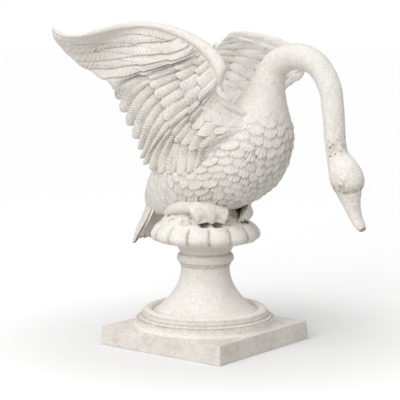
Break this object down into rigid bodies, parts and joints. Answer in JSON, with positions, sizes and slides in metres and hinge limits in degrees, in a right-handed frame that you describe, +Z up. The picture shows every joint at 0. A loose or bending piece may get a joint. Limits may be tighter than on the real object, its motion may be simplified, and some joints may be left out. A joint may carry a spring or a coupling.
{
  "type": "cast iron swan sculpture on pedestal",
  "caption": "Painted cast iron garden swan with raised wings and a down-curved neck, on a scalloped mound, turned socle and square plinth.",
  "frame": {"origin": "centre of the plinth's underside", "axes": "+Z up, +X the way the bird faces, +Y to the bird's left; the plinth's sides lie along X and Y"},
  "size_m": [0.608, 0.602, 0.7043],
  "materials": {
    "swan_paint": "matt, fine sand-cast grain, weathered",
    "pedestal_paint": "matt, fine sand-cast grain, chipped edges"
  },
  "bodies": {
    "root": {"swan": "swan_paint", "pedestal": "pedestal_paint"}
  },
  "joints": []
}
